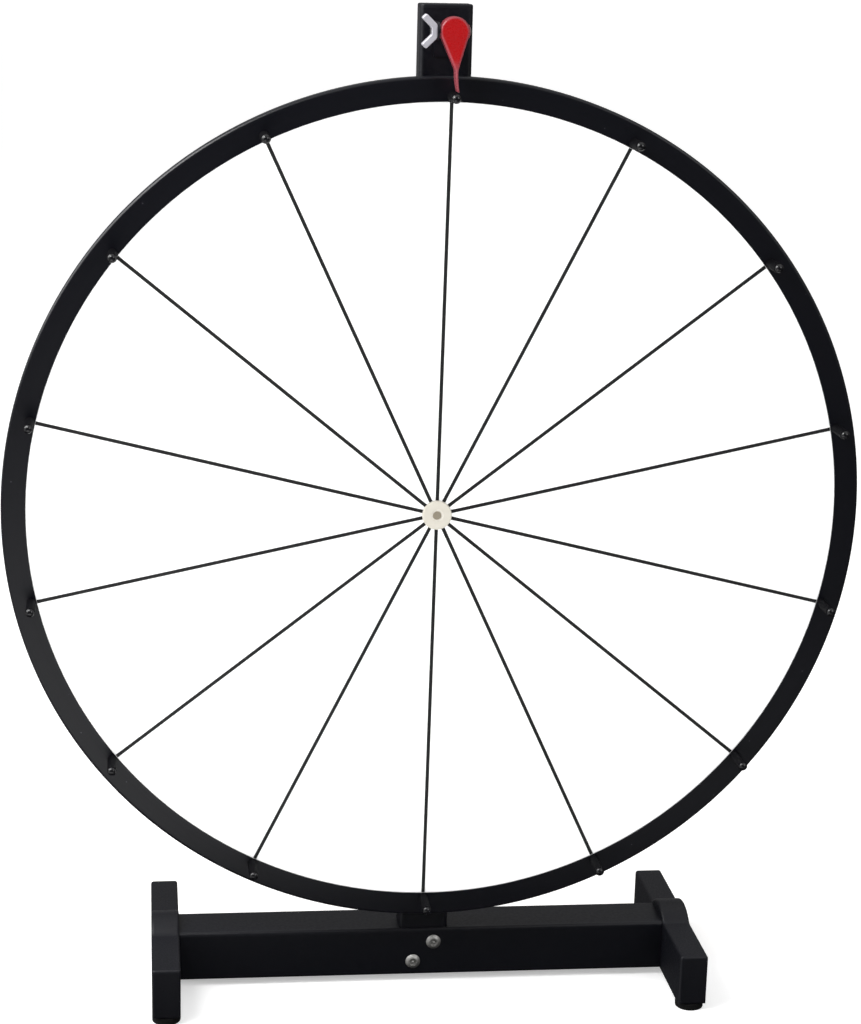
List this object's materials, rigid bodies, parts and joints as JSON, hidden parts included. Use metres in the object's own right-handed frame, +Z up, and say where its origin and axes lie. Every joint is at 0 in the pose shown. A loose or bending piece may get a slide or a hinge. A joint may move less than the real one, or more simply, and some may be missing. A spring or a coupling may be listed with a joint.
{
  "type": "tabletop prize wheel",
  "caption": "White dry-wipe prize wheel with a black rim and pegs, turning on a post over a beam base with two feet, with a clamped flexible red pointer.",
  "frame": {"origin": "on the table, under the middle of the base", "axes": "+X to the viewer's right, +Y to the back, away from the wheel's face, +Z up"},
  "size_m": [0.61, 0.162, 0.717],
  "materials": {
    "black_steel": "black powder coat, satin gloss",
    "black_moulding": "moulded ABS, fine grain",
    "black_rim": "extruded plastic edging, satin",
    "black_pegs": "moulded nylon, polished tips",
    "black_lines": "thin black tape",
    "pad_rubber": "moulded rubber",
    "white_sheet": "glossy dry-wipe sheet",
    "fibreboard": "raw fibreboard",
    "zinc_steel": "zinc plated",
    "nickel_steel": "bright nickel plate",
    "bearing_steel": "ground bearing steel",
    "cream_plastic": "cream nylon",
    "red_plastic": "flexible red plastic, satin"
  },
  "bodies": {
    "stand": {"base_beam": "black_steel", "foot_left": "black_moulding", "foot_right": "black_moulding", "foot_screws": "zinc_steel", "pad_front_left": "pad_rubber", "pad_front_right": "pad_rubber", "pad_rear_left": "pad_rubber", "pad_rear_right": "pad_rubber", "post": "black_steel", "post_cap": "black_moulding", "post_nut_plate": "zinc_steel", "post_screws": "nickel_steel", "axle_bolt": "zinc_steel", "axle_washer": "zinc_steel", "axle_sleeve": "zinc_steel", "axle_spacer": "zinc_steel", "front_bearing_inner": "bearing_steel", "rear_bearing_inner": "bearing_steel", "hub_nut": "cream_plastic", "pointer_bracket": "black_steel", "bracket_screws": "zinc_steel"},
    "wheel": {"wheel_board": "fibreboard", "board_face": "white_sheet", "rim_trim": "black_rim", "divider_lines": "black_lines", "hub_flange": "zinc_steel", "hub_screws": "zinc_steel", "front_bearing_outer": "bearing_steel", "rear_bearing_outer": "bearing_steel", "peg_screws": "zinc_steel", "peg_01": "black_pegs", "peg_02": "black_pegs", "peg_03": "black_pegs", "peg_04": "black_pegs", "peg_05": "black_pegs", "peg_06": "black_pegs", "peg_07": "black_pegs", "peg_08": "black_pegs", "peg_09": "black_pegs", "peg_10": "black_pegs", "peg_11": "black_pegs", "peg_12": "black_pegs", "peg_13": "black_pegs", "peg_14": "black_pegs"},
    "pointer": {"pointer_head": "red_plastic", "clamp_bolt": "zinc_steel"},
    "pointer_flexure": {"pointer_blade": "red_plastic"},
    "clamp_nut": {"wing_nut": "nickel_steel"}
  },
  "joints": [
    {"name": "wheel_spin", "type": "hinge", "parent": "stand", "child": "wheel", "pos_m": [0, -0.0276, 0.365], "axis": [0, -1, 0], "continuous": true},
    {"name": "pointer_tilt", "type": "hinge", "parent": "stand", "child": "pointer", "pos_m": [0, -0.0446, 0.7], "axis": [-1, 0, 0], "range_deg": [-5, 180]},
    {"name": "pointer_flex", "type": "hinge", "parent": "pointer", "child": "pointer_flexure", "pos_m": [0.0034, -0.0446, 0.6745], "axis": [0, -1, 0], "range_deg": [-30, 30], "stiffness_Nm_per_rad": 0.05, "deforming": ["pointer_blade"]},
    {"name": "wing_nut_turn", "type": "hinge", "parent": "pointer", "child": "clamp_nut", "pos_m": [0, -0.0446, 0.7], "axis": [-1, 0, 0], "range_deg": [0, 720]}
  ]
}
